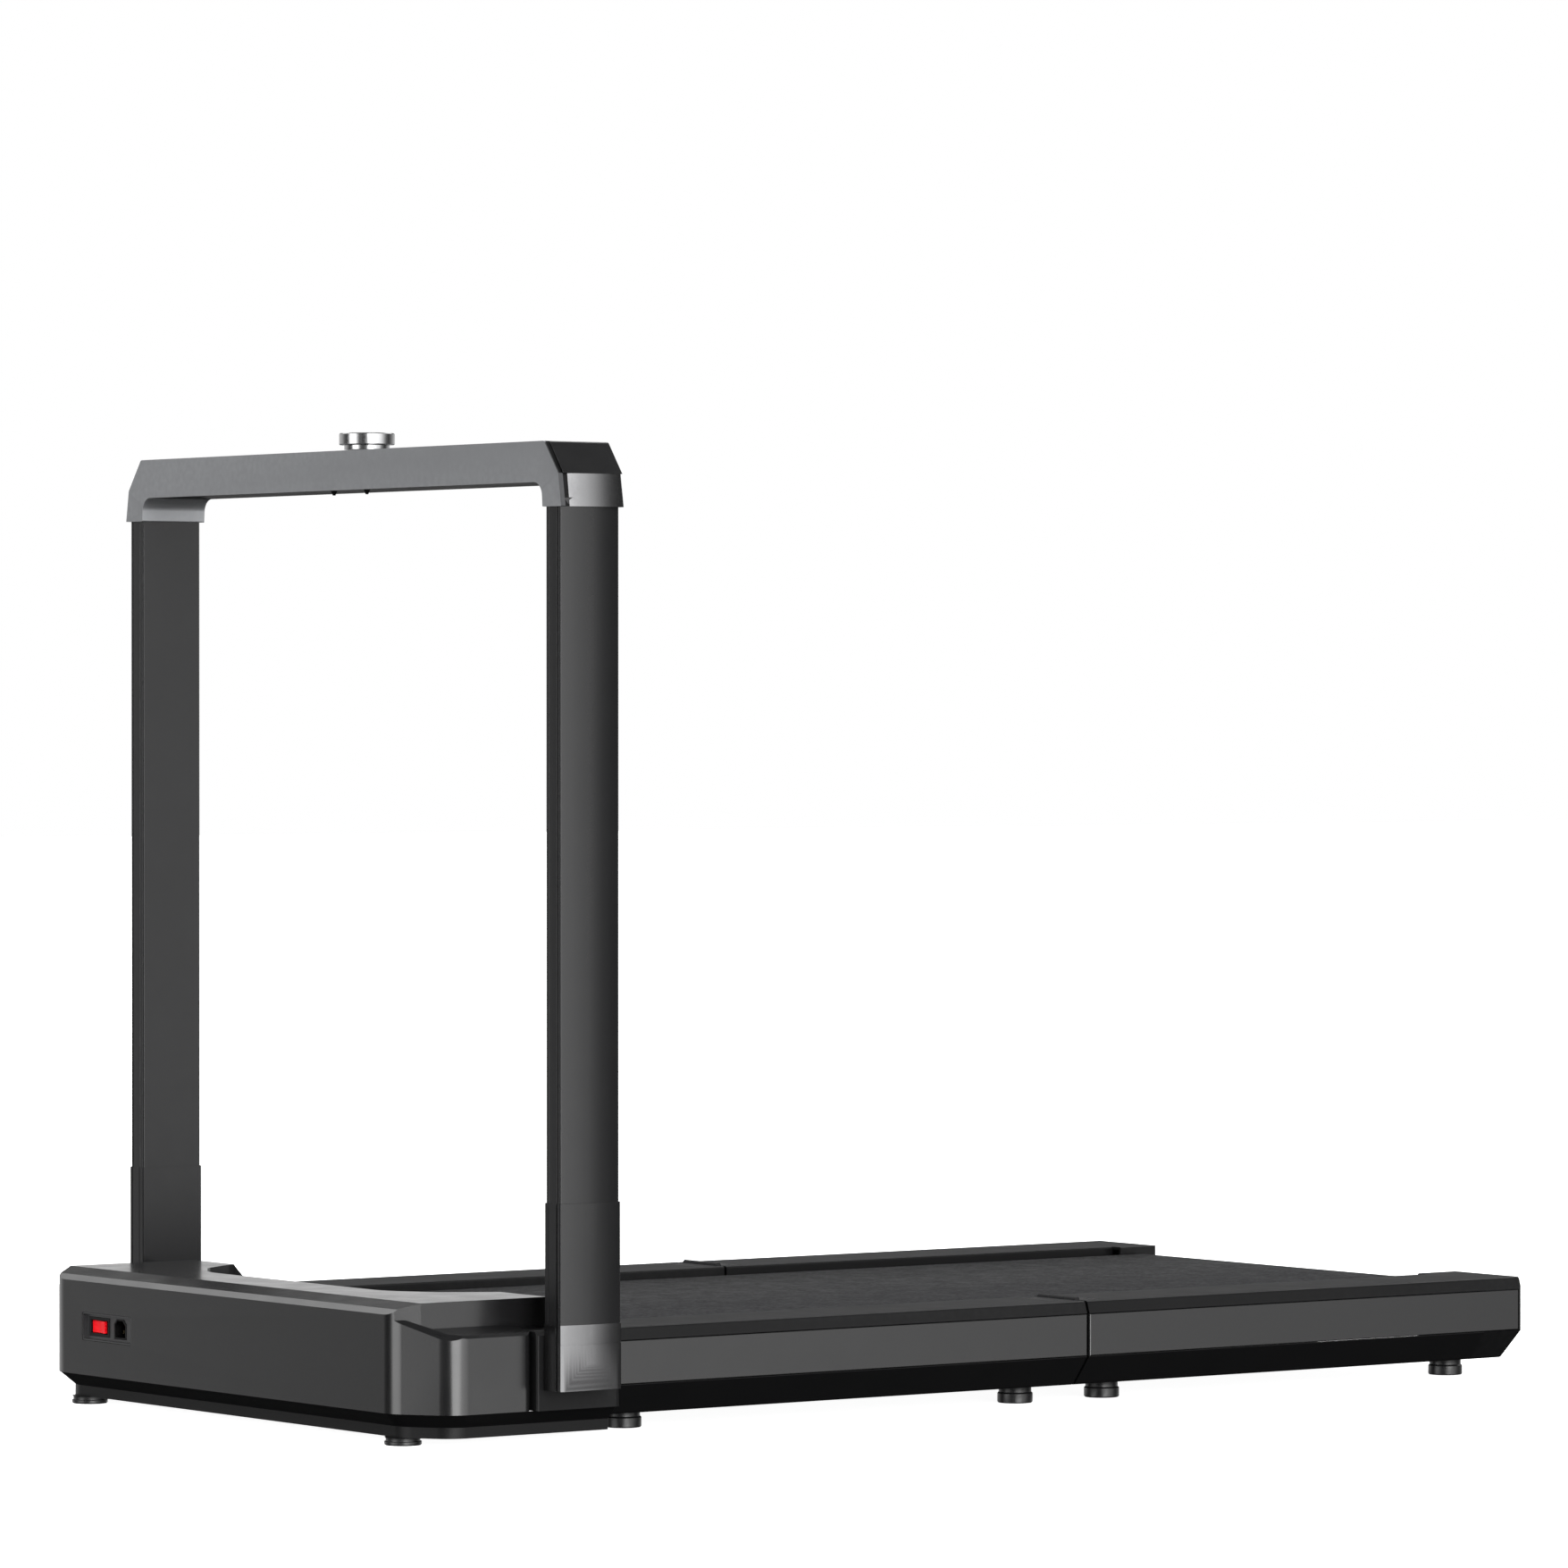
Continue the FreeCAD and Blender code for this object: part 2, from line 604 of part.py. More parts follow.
def belly_pan(rear):
    """The dark underside, bevelled up to the side panels."""
    start, end = half_span(rear)
    if not rear:
        start = PIVOT_ZONE[1] + GAP
    top = PANEL_Z - GAP
    def section(inset):
        rise = 0.6 * inset
        return [(-DECK_HALF + inset, top), (-BELLY_HALF + rise, BELLY_Z + inset),
                (BELLY_HALF - rise, BELLY_Z + inset), (DECK_HALF - inset, top)]
    inner = section(2.5)
    inner[0] = (inner[0][0], top + 0.1)
    inner[3] = (inner[3][0], top + 0.1)
    pan = along(section(0), (start, end), [0.5, 6, 6, 0.5])
    pan = pan.cut(along(inner, (start - 1, end + 1), [0.5, 4, 4, 0.5]))
    feet = REAR_FEET if rear else FRONT_FEET[1:]
    return pan.cut(foot_screw_holes(feet))


def end_cap():
    """The moulding at one rear corner, hollow behind the roller's end."""
    end = LENGTH
    plan = [(END_CAP_IN, END_CAP_START), (DECK_HALF, END_CAP_START), (DECK_HALF, end), (END_CAP_IN, end)]
    section = [
        (END_CAP_IN, BELLY_Z), (BELLY_HALF, BELLY_Z), (DECK_HALF, PANEL_Z), (DECK_HALF, LIP_Z),
        (333, RAIL_TOP), (END_CAP_IN, RAIL_TOP),
    ]
    cap = along(section, (END_CAP_START, end), [1, 6, 2, 2, 3, 2])
    cap = cap.common(upright(plan, (0, 200), [0.3, 0.3, 2, 3]))
    cap = cap.cut(beyond((0, end, PANEL_Z + 1), (0, 30, -8)))
    inner = [
        (END_CAP_IN + WALL, BELLY_Z + WALL), (BELLY_HALF - 1.6, BELLY_Z + WALL),
        (DECK_HALF - WALL, PANEL_Z + 1), (DECK_HALF - WALL, LIP_Z - 1), (331, RAIL_TOP - WALL),
        (END_CAP_IN + WALL, RAIL_TOP - WALL),
    ]
    inside = along(inner, (END_CAP_START - 1, end - WALL), [1, 3, 1, 1, 1, 1])
    inside = inside.cut(beyond((0, end - WALL, PANEL_Z + 1), (0, 30, -8)))
    panel_notch = box((321, 400), (END_CAP_START - 1, PANEL_END + GAP), (PANEL_Z - GAP, LIP_Z))
    axle_hole = rod((200, 260), REAR_ROLLER_Y, ROLLER_Z, AXLE_R + GAP)
    screw_hole = disc(REAR_FEET[1][0], REAR_FEET[1][1], (0, 60), FOOT_SCREW_R)
    bolt_access = Part.makeCylinder(BOLT_ACCESS_R, 20, V(BOLT_X, end - 10, ROLLER_Z), Y_AXIS)
    return cap.cut([inside, panel_notch, axle_hole, screw_hole, bolt_access])


def tension_bolts():
    """Screws in the rear end of each frame rail that pull the roller's axle back."""
    tip = REAR_ROLLER_Y + AXLE_R + 0.2
    end = LENGTH - WALL - 1
    bolt = Part.makeCylinder(3, end - tip, V(BOLT_X, tip, ROLLER_Z), Y_AXIS)
    head = Part.makeCylinder(5, 4.5, V(BOLT_X, end - 4.5, ROLLER_Z), Y_AXIS)
    socket = Part.makeCylinder(2, 3, V(BOLT_X, end - 2, ROLLER_Z), Y_AXIS)
    return both_sides(bolt.fuse(head).cut(socket))


def foot(x, y, top):
    """A rubber foot: a round pad, a neck that flares up to the underside, and its screw."""
    pad_top = 0.45 * top
    neck = FOOT_R - 1.3
    flare = neck + 0.16 * top
    points = [
        V(x, y, 0), V(x + FOOT_R - 1, y, 0), V(x + FOOT_R, y, 1), V(x + FOOT_R, y, pad_top),
        V(x + neck, y, pad_top + 0.07 * top), V(x + neck, y, 0.72 * top),
        V(x + (neck + flare) / 2 - 0.4, y, 0.9 * top), V(x + flare, y, top), V(x, y, top), V(x, y, 0),
    ]
    body = Part.Face(Part.makePolygon(points)).revolve(V(x, y, 0), Z_AXIS, 360)
    stem = disc(x, y, (top - 1, top + WALL + 2), FOOT_STEM_R)
    return body.fuse(stem)


def feet(places, tops):
    return [foot(side * x, y, top) for (x, y), top in zip(places, tops) for side, _ in SIDES]


# ---- seam hinge ----

def hinge_leaf_span(rear):
    near, far = SEAM_GAP / 2, HINGE_LEAF
    return (SEAM + near, SEAM + far) if rear else (SEAM - far, SEAM - near)


def hinge_leaf(rear):
    """A plate flush with the rail top, a block down to the frame rail, and its barrels."""
    start, end = hinge_leaf_span(rear)
    plate = box((HINGE_X[0][0], HINGE_X[2][1]), (start, end), (RAIL_TOP - 2.8, RAIL_TOP))
    block = (start + 10, end) if rear else (start, end - 10)
    post = box((HINGE_X[0][0], FRAME_RAIL[1] - 2), block, (FRAME_Z[1], RAIL_TOP - 2))
    bands = (HINGE_X[1],) if rear else (HINGE_X[0], HINGE_X[2])
    others = (HINGE_X[0], HINGE_X[2]) if rear else (HINGE_X[1],)
    barrels = []
    for band in bands:
        strap = box(band, (SEAM, end) if rear else (start, SEAM), (RAIL_TOP - 2.8, RAIL_TOP))
        barrels.extend([rod(band, SEAM, HINGE_Z, HINGE_R), strap])
    clearances = [rod((x[0] - 0.3, x[1] + 0.3), SEAM, HINGE_Z, HINGE_R + 0.8) for x in others]
    screws = countersinks(start, end, rear)
    bore = rod((200, 400), SEAM, HINGE_Z, HINGE_PIN_R + RUNNING_CLEARANCE)
    return plate.cut(clearances).fuse([post] + barrels).cut([bore] + screws)


def countersinks(start, end, rear):
    """Two countersunk screw holes in the leaf, clear of the barrels."""
    y = end - 7 if rear else start + 7
    cones = []
    for x in (HINGE_X[0][0] + 10, HINGE_X[2][1] - 10):
        cones.append(Part.makeCone(1.5, 4, 2.5, V(x, y, RAIL_TOP - 2.5)))
    return cones


def hinge_pin():
    return rod((HINGE_X[0][0], HINGE_X[2][1]), SEAM, HINGE_Z, HINGE_PIN_R)


# ---- handrail ----

def pivot_housing():
    """The black block between the deck and the handrail foot, with a bore for the pivot pin."""
    x = (HOOD_ARM_OUT + 1.5, POST_IN - 1.5)
    y = PIVOT_ZONE
    plan = [(x[0], y[0]), (x[1], y[0]), (x[1], y[1]), (x[0], y[1])]
    block = upright(plan, (HOOD_BOTTOM, RAIL_TOP + 1), [1, 2.5, 6, 1])
    block = block.cut(beyond((x[1], 0, 98), (1, 0, 1)))
    return block.cut(rod((300, 400), PIVOT_Y, PIVOT_Z, PIVOT_R))


def bulged_outline(x, y, z):
    """A plan with a flat inner face, small bevelled corners and a bulging outer face."""
    edge = POST_EDGE
    ends = (y[0] + edge, y[1] - edge)
    outer_mid = V(x[1] + POST_BULGE, sum(y) / 2, z)
    curve = Part.Arc(V(x[1], ends[0], z), outer_mid, V(x[1], ends[1], z)).toShape()
    points = [
        (x[1], ends[1]), (x[1] - edge, y[1]), (x[0] + edge, y[1]), (x[0], ends[1]),
        (x[0], ends[0]), (x[0] + edge, y[0]), (x[1] - edge, y[0]), (x[1], ends[0]),
    ]
    edges = [curve]
    for start, end in zip(points, points[1:]):
        edges.append(Part.LineSegment(V(*start, z), V(*end, z)).toShape())
    return Part.Wire(Part.__sortEdges__(edges))


def post_form(grow, z):
    """The post's solid outline between two heights, thicker all round by grow."""
    x = (POST_IN - grow, POST_OUT + grow)
    y = (POST_Y[0] - grow, POST_Y[1] + grow)
    return Part.Face(bulged_outline(x, y, z[0])).extrude(V(0, 0, z[1] - z[0]))


def post_grooves(grow, z):
    """Two fine grooves up the front edge."""
    y = POST_Y[0] - grow
    inner = box((POST_IN + 5, POST_IN + 6), (y - 1, y + 0.8), z)
    outer = box((POST_OUT - 4.5, POST_OUT - 2.7), (y - 1, y + 1.5), z)
    return [inner, outer]


def post():
    """A hollow extrusion, from inside the knuckle to inside the crossbar's leg."""
    z = (KNUCKLE_Z[1] - 12, LEG_END[1] + POST_SOCKET)
    shell = post_form(0, z).cut(post_form(-POST_WALL, (z[0] - 1, z[1] + 1)))
    return shell.cut(post_grooves(0, (KNUCKLE_Z[1] - 20, SLANT_END[1])))


def lower_sleeve():
    z = (KNUCKLE_Z[1], SLEEVE_TOP)
    shell = post_form(1, z).cut(post_form(0.05, (z[0] - 1, z[1] + 1)))
    return shell.cut(post_grooves(1, (0, 300)))


def knuckle():
    """The silver foot that turns on the pivot pin, with a socket for the post."""
    body = post_form(1.6, KNUCKLE_Z)
    taper = beyond((POST_OUT + POST_BULGE, 0, 60), (1, 0, -0.12))
    band = post_form(3, (KNUCKLE_BAND_Z - 0.5, KNUCKLE_BAND_Z + 0.5)).cut(post_form(1.0, (0, 200)))
    socket = post_form(0.05, (KNUCKLE_Z[1] - 12, 300))
    inner_trim = box((0, POST_IN - 0.3), (0, 400), (0, 400))
    bore = rod((300, POST_OUT - 4), PIVOT_Y, PIVOT_Z, PIVOT_R + RUNNING_CLEARANCE)
    return body.cut([taper, band, socket, inner_trim, bore] + post_grooves(1.6, (0, 200))[1:])


def pivot_pin():
    return rod((306, POST_OUT - 5), PIVOT_Y, PIVOT_Z, PIVOT_R)


def friction_washer():
    """Between the pivot housing and the knuckle."""
    x = (342.4, POST_IN - 0.5)
    ring = rod(x, PIVOT_Y, PIVOT_Z, 18)
    return ring.cut(rod((300, 400), PIVOT_Y, PIVOT_Z, PIVOT_R + 0.1))


def bar_section(trim, y):
    """The crossbar's front view between two depths, with its ends thinned by trim."""
    half = [
        (CORNER_X - 0.4 * trim, HANDRAIL_TOP), (SLANT_END[0] - trim, SLANT_END[1]),
        (LEG_END[0] - trim, LEG_END[1]), (LEG_INNER, LEG_END[1]), (LEG_INNER - 1.5, BAR_BOTTOM),
    ]
    points = half + [(-x, z) for x, z in reversed(half)]
    return along(points, y, BAR_RADII + BAR_RADII[::-1])


def end_zone(y, z):
    """The outboard space of one end of the crossbar."""
    return box((CORNER_X - 1.5, 400), (y, 400), z)


def crossbar():
    """Front face in one piece with the two legs; behind it each end is thinner, for its caps."""
    skin = bar_section(0, BAR_Y).cut(bar_section(SKIN, BAR_Y))
    recesses = skin.common(end_zone(BAR_Y[0] + SLANT_PLATE, (SLANT_END[1], 1000)))
    leg_recess = skin.common(end_zone(BAR_Y[0] + LEG_PLATE, (0, SLANT_END[1])))
    recesses = both_sides(recesses.fuse(leg_recess))
    sockets = both_sides(post_form(0.05, (LEG_END[1] - 1, LEG_END[1] + POST_SOCKET)))
    return bar_section(0, BAR_Y).cut(recesses + sockets + console_seats())


def console_seats():
    """The spaces in the crossbar for the circuit board, display lens, knob and pegs."""
    board_space = box(BOARD_SPACE_X, (140, 190), (BAR_BOTTOM + 6, HANDRAIL_TOP - 3))
    lens_seat = box(LENS_X, LENS_Y, (HANDRAIL_TOP - 1.8, HANDRAIL_TOP + 1))
    knob_z = (HANDRAIL_TOP - 10, HANDRAIL_TOP + 1)
    knob_bore = disc(0, PIVOT_Y, knob_z, KNOB_SHAFT_R + RUNNING_CLEARANCE)
    pegs = [disc(side * PEG_X, PEG_Y, (BAR_BOTTOM - 1, BAR_BOTTOM + 4), 2) for side, _ in SIDES]
    return [board_space, lens_seat, knob_bore] + pegs


def corner_cap():
    """The black skin over one slanted corner, behind a narrow groove."""
    start = BAR_Y[0] + SLANT_PLATE + GROOVE_WIDTH
    skin = bar_section(0, (start, BAR_Y[1])).cut(bar_section(SKIN - 0.1, (0, 400)))
    return skin.common(end_zone(start, (SLANT_END[1] + 0.1, 1000)))


def post_cap():
    """The silver skin over one leg, with a bulging outer face that widens downwards."""
    start = BAR_Y[0] + LEG_PLATE + GROOVE_WIDTH
    y = (start, BAR_Y[1])
    wires = []
    for bulge, z in zip(CAP_BULGE, (LEG_END[1], SLANT_END[1] - 0.1)):
        wires.append(bulged_outline((POST_IN, bulge - POST_BULGE), y, z))
    form = Part.makeLoft(wires, True, True)
    inside = bar_section(SKIN - 0.1, (0, 400))
    return form.cut([inside, post_form(0.05, (0, LEG_END[1] + POST_SOCKET))])


def display_lens():
    y = (LENS_Y[0] + 0.2, LENS_Y[1] - 0.2)
    x = (LENS_X[0] + 0.2, LENS_X[1] - 0.2)
    return box(x, y, (HANDRAIL_TOP - 1.8, HANDRAIL_TOP - 0.1))


def console_board():
    """The circuit board under the lens, with the knob's encoder on it."""
    z = BAR_BOTTOM + 14
    board = box((BOARD_SPACE_X[0] + 2, BOARD_SPACE_X[1] - 2), (142, 188), (z, z + 1.6))
    ends = (BOARD_SPACE_X[0] + 7, BOARD_SPACE_X[1] - 7)
    standoffs = [disc(x, y, (BAR_BOTTOM + 6, z), 3) for x in ends for y in (148, 182)]
    encoder = disc(0, PIVOT_Y, (z + 1.6, z + 6), 8)
    display_y = (LENS_Y[0] + 4, LENS_Y[1] - 4)
    display = box((LENS_X[0] + 4, LENS_X[1] - 4), display_y, (z + 1.6, HANDRAIL_TOP - 4))
    return board.fuse(standoffs + [encoder, display])


def peg(side):
    """A small tapered peg under the crossbar."""
    x = side * PEG_X
    tip = Part.makeCone(1.2, 3.2, 4, V(x, PEG_Y, BAR_BOTTOM - 4))
    return tip.fuse(disc(x, PEG_Y, (BAR_BOTTOM - 0.1, BAR_BOTTOM + 3.8), 1.9))


def knob_spindle():
    """The shaft and neck that are pushed down with the knob."""
    shaft = disc(0, PIVOT_Y, (HANDRAIL_TOP - 12, HANDRAIL_TOP + 3), KNOB_SHAFT_R)
    neck = disc(0, PIVOT_Y, (HANDRAIL_TOP + KNOB_TRAVEL + 0.5, KNOB_Z[0] - 0.3), NECK_R)
    pin = disc(0, PIVOT_Y, (HANDRAIL_TOP + 3, KNOB_Z[0] + 6), 3)
    return shaft.fuse([neck, pin])


def knob_dial():
    """The metal dial, with fine flutes round its edge."""
    dial = disc(0, PIVOT_Y, KNOB_Z, KNOB_R)
    dial = dial.makeChamfer(0.8, [edge for edge in dial.Edges if edge.Closed])
    dish = Part.makeCone(20, 22, 0.8, V(0, PIVOT_Y, KNOB_Z[1] - 0.7))
    return dial.cut([dish, disc(0, PIVOT_Y, (KNOB_Z[0] - 1, KNOB_Z[0] + 6.3), 3 + RUNNING_CLEARANCE)])


# ---- all the pieces ----

def build_hood():
    save("hood_cover", hood_cover())
    save("hood_tray", hood_tray())
    save("switch_bezel", switch_bezel())
    save("rocker_frame", rocker_frame())
    save("power_rocker", power_rocker())
    save("inlet_socket", inlet_socket())
    save("inlet_pins", *inlet_pins())


def build_drive():
    save("motor_housing", motor_housing())
    save("motor_cradle", motor_cradle())
    save("motor_rotor", motor_rotor())
    save("motor_pulley", pulley(MOTOR_Y, MOTOR_Z, MOTOR_PULLEY_R, 4 + RUNNING_CLEARANCE))
    drive = belt_loop(
        (PULLEY_X[0] + 2, PULLEY_X[1] - 2),
        (MOTOR_Y, MOTOR_Z, MOTOR_PULLEY_R + GAP),
        (FRONT_ROLLER_Y, ROLLER_Z, ROLLER_PULLEY_R + GAP),
        DRIVE_BELT_THICK,
    )
    save("drive_belt", drive)
    save("controller_box", controller_box())
    save("controller_heat_sink", heat_sink())
    save("front_roller", roller_tube(FRONT_ROLLER_Y))
    save("front_roller_bearings", *roller_bearings(FRONT_ROLLER_Y))
    save("front_roller_pulley", roller_pulley())
    save("front_roller_axle", roller_axle(FRONT_ROLLER_Y))
    save("rear_roller", roller_tube(REAR_ROLLER_Y))
    save("rear_roller_bearings", *roller_bearings(REAR_ROLLER_Y))
    save("rear_roller_axle", roller_axle(REAR_ROLLER_Y))


def build_deck():
    for rear, half in ((False, "front"), (True, "rear")):
        save(half + "_walking_belt", walking_belt(rear))
        save(half + "_deck_board", deck_board(rear))
        save(half + "_frame_rails", *frame_rails(rear))
        save(half + "_crossbeams", *crossbeams(rear))
        save(half + "_belly_pan", belly_pan(rear))
        save("hinge_leaves_" + half, *both_sides(hinge_leaf(rear)))
        for side, side_name in SIDES:
            save(half + "_rail_cover_" + side_name, on_side(rail_cover(rear), side))
        save(half + "_side_panels", *both_sides(side_panel(rear)))
    save("end_caps", *both_sides(end_cap()))
    save("hinge_pins", *both_sides(hinge_pin()))
    save("tension_bolts", *tension_bolts())
    save("front_feet", *feet(FRONT_FEET, (TRAY_BOTTOM, BELLY_Z, BELLY_Z)))
    save("rear_feet", *feet(REAR_FEET, (BELLY_Z, BELLY_Z)))


def build_handrail():
    for side, side_name in SIDES:
        save("post_" + side_name, on_side(post(), side))
        save("knuckle_" + side_name, on_side(knuckle(), side))
    save("pivot_housings", *both_sides(pivot_housing()))
    save("lower_sleeves", *both_sides(lower_sleeve()))
    save("pivot_pins", *both_sides(pivot_pin()))
    save("friction_washers", *both_sides(friction_washer()))
    save("crossbar", crossbar())
    save("corner_caps", *both_sides(corner_cap()))
    save("post_caps", *both_sides(post_cap()))
    save("display_lens", display_lens())
    save("console_board", console_board())
    save("crossbar_pegs", peg(1), peg(-1))
    save("knob_spindle", knob_spindle())
    save("knob_dial", knob_dial())


os.makedirs("parts", exist_ok=True)
build_hood()
build_drive()
build_deck()
build_handrail()
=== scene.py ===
import json
import math

import bmesh
import bpy
from mathutils import Matrix, Vector


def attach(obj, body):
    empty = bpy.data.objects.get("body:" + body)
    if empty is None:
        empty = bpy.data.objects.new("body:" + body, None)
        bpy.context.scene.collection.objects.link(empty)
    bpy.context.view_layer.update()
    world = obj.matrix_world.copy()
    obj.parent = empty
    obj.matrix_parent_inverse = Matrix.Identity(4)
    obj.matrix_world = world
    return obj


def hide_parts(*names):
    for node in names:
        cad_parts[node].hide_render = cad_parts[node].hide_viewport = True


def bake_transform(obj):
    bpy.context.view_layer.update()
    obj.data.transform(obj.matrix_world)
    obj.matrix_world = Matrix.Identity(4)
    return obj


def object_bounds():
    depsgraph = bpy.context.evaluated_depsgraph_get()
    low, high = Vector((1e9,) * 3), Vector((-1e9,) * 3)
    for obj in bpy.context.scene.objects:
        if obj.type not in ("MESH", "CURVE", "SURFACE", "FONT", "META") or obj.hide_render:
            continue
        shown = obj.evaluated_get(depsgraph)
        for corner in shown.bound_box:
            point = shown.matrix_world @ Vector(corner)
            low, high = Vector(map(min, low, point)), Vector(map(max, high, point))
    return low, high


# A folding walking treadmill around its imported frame. Metres, in the frame's own axes.
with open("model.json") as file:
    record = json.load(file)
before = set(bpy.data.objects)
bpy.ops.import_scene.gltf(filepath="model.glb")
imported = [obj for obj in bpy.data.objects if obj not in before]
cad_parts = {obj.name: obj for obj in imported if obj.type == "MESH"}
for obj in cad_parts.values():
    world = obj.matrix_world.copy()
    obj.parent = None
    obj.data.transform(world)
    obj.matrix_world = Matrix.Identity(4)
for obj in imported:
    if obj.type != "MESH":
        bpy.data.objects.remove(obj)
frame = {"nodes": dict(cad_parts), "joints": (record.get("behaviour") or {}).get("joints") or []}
CAD_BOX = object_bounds()
NODES = frame["nodes"]
JOINTS = {joint["name"]: joint for joint in frame["joints"]}
MM = 0.001


# ---- material tools ----

class Finish:
    """One Principled material with object-space texture inputs."""

    def __init__(self, name, color, roughness, metallic=0.0, **sockets):
        self.material = bpy.data.materials.new(name)
        self.material.use_nodes = True
        self.tree = self.material.node_tree
        self.shader = self.tree.nodes["Principled BSDF"]
        self.color = color
        self.shader.inputs["Base Color"].default_value = (*color, 1.0)
        self.shader.inputs["Roughness"].default_value = roughness
        self.shader.inputs["Metallic"].default_value = metallic
        for socket, value in sockets.items():
            self.shader.inputs[socket.replace("_", " ")].default_value = value
        self.place = self.node("ShaderNodeTexCoord").outputs["Object"]
        self.last_color = None
        self.height = None

    def node(self, kind, **settings):
        new = self.tree.nodes.new(kind)
        for key, value in settings.items():
            setattr(new, key, value)
        return new

    def link(self, source, target):
        self.tree.links.new(source, target)

    def stretched(self, scale):
        """Object coordinates with each axis multiplied by its own factor."""
        mapping = self.node("ShaderNodeMapping")
        mapping.inputs["Scale"].default_value = scale
        self.link(self.place, mapping.inputs["Vector"])
        return mapping.outputs["Vector"]

    def noise(self, size, detail=3.0, stretch=None):
        """Noise whose features are about size metres across."""
        texture = self.node("ShaderNodeTexNoise")
        texture.inputs["Scale"].default_value = 1.0 / size
        texture.inputs["Detail"].default_value = detail
        self.link(self.stretched(stretch) if stretch else self.place, texture.inputs["Vector"])
        return texture.outputs["Fac"]

    def cells(self, size, stretch=None):
        """Voronoi cells about size metres across."""
        texture = self.node("ShaderNodeTexVoronoi")
        texture.inputs["Scale"].default_value = 1.0 / size
        self.link(self.stretched(stretch) if stretch else self.place, texture.inputs["Vector"])
        return texture.outputs["Distance"]

    def remap(self, source, low, high, start=0.3, end=0.7):
        """Stretches the part of source between start and end over low to high."""
        mapped = self.node("ShaderNodeMapRange")
        for name, value in (("From Min", start), ("From Max", end), ("To Min", low), ("To Max", high)):
            mapped.inputs[name].default_value = value
        self.link(source, mapped.inputs["Value"])
        return mapped.outputs["Result"]

    def vary_roughness(self, source, low, high):
        self.link(self.remap(source, low, high), self.shader.inputs["Roughness"])
        return self

    def vary_color(self, source, darker, lighter):
        """The base colour times a factor that runs between darker and lighter."""
        ramp = self.node("ShaderNodeValToRGB")
        ramp.color_ramp.elements[0].position = 0.3
        ramp.color_ramp.elements[1].position = 0.7
        ramp.color_ramp.elements[0].color = (*(c * darker for c in self.color), 1.0)
        ramp.color_ramp.elements[1].color = (*(c * lighter for c in self.color), 1.0)
        self.link(source, ramp.inputs["Fac"])
        self.last_color = ramp.outputs["Color"]
        self.link(self.last_color, self.shader.inputs["Base Color"])
        return self

    def edge_wear(self, color, amount):
        """Lightens convex edges a little, broken up by noise."""
        point = self.remap(self.node("ShaderNodeNewGeometry").outputs["Pointiness"], 0.0, amount, 0.52, 0.62)
        broken = self.node("ShaderNodeMath", operation="MULTIPLY")
        self.link(point, broken.inputs[0])
        self.link(self.remap(self.noise(0.006), 0.2, 1.0), broken.inputs[1])
        mix = self.node("ShaderNodeMix", data_type="RGBA")
        self.link(broken.outputs[0], mix.inputs["Factor"])
        self.link(self.last_color, mix.inputs["A"])
        mix.inputs["B"].default_value = (*color, 1.0)
        self.link(mix.outputs["Result"], self.shader.inputs["Base Color"])
        return self

    def bump(self, source, strength, distance):
        """Adds a layer of relief on top of any earlier one."""
        bump = self.node("ShaderNodeBump")
        bump.inputs["Strength"].default_value = strength
        bump.inputs["Distance"].default_value = distance
        self.link(source, bump.inputs["Height"])
        if self.height:
            self.link(self.height, bump.inputs["Normal"])
        self.height = bump.outputs["Normal"]
        self.link(self.height, self.shader.inputs["Normal"])
        return self


def moulded(name, color, roughness, specular=0.5, grain=0.0011, depth=0.00004):
    """Moulded plastic with a fine etched grain and slight sheen changes."""
    finish = Finish(name, color, roughness, Specular_IOR_Level=specular)
    finish.vary_color(finish.noise(0.09), 0.95, 1.05)
    finish.vary_roughness(finish.noise(0.035), roughness - 0.02, roughness + 0.025)
    finish.edge_wear(tuple(min(1.0, c * 2.0 + 0.01) for c in color), 0.2)
    finish.bump(finish.cells(grain), 0.2, depth)
    return finish.bump(finish.noise(0.02), 0.03, 0.0002)


def coated(name, color, roughness, metallic=0.0, specular=0.5):
    """Powder coat or paint with a faint orange peel."""
    finish = Finish(name, color, roughness, metallic, Specular_IOR_Level=specular)
    finish.vary_color(finish.noise(0.12), 0.97, 1.03)
    finish.vary_roughness(finish.noise(0.03), roughness - 0.02, roughness + 0.025)
    finish.edge_wear(tuple(min(1.0, c * 1.8 + 0.01) for c in color), 0.2)
    return finish.bump(finish.noise(0.0016, 4.0), 0.12, 0.00005)


# how much each axis is squeezed, for lines that run along one of them
ALONG_X = (0.12, 8.0, 8.0)
ALONG_Y = (8.0, 0.12, 8.0)
ALONG_Z = (8.0, 8.0, 0.12)


def brushed(name, color, roughness, lines, metallic=1.0, depth=0.25, specular=0.5):
    """Metal with fine lines along one axis."""
    finish = Finish(name, color, roughness, metallic, Specular_IOR_Level=specular)
    finish.vary_color(finish.noise(0.05), 0.95, 1.05)
    streaks = finish.noise(0.004, 5.0, lines)
    finish.vary_roughness(streaks, roughness - 0.04, roughness + 0.05)
    finish.edge_wear(tuple(min(1.0, c * 1.5 + 0.03) for c in color), 0.25)
    return finish.bump(streaks, depth, 0.00003)


def belt_rubber():
    """Walking belt: fine embossed cells over a finer grain."""
    finish = Finish("walking_belt_rubber", (0.023, 0.023, 0.0242), 0.74, Specular_IOR_Level=0.04)
    grain = finish.cells(0.0032, (1.0, 0.62, 1.0))
    finish.vary_color(grain, 0.6, 1.5)
    finish.vary_roughness(finish.noise(0.02), 0.6, 0.74)
    finish.bump(grain, 0.8, 0.0004)
    return finish.bump(finish.noise(0.0009, 2.0), 0.3, 0.0001)


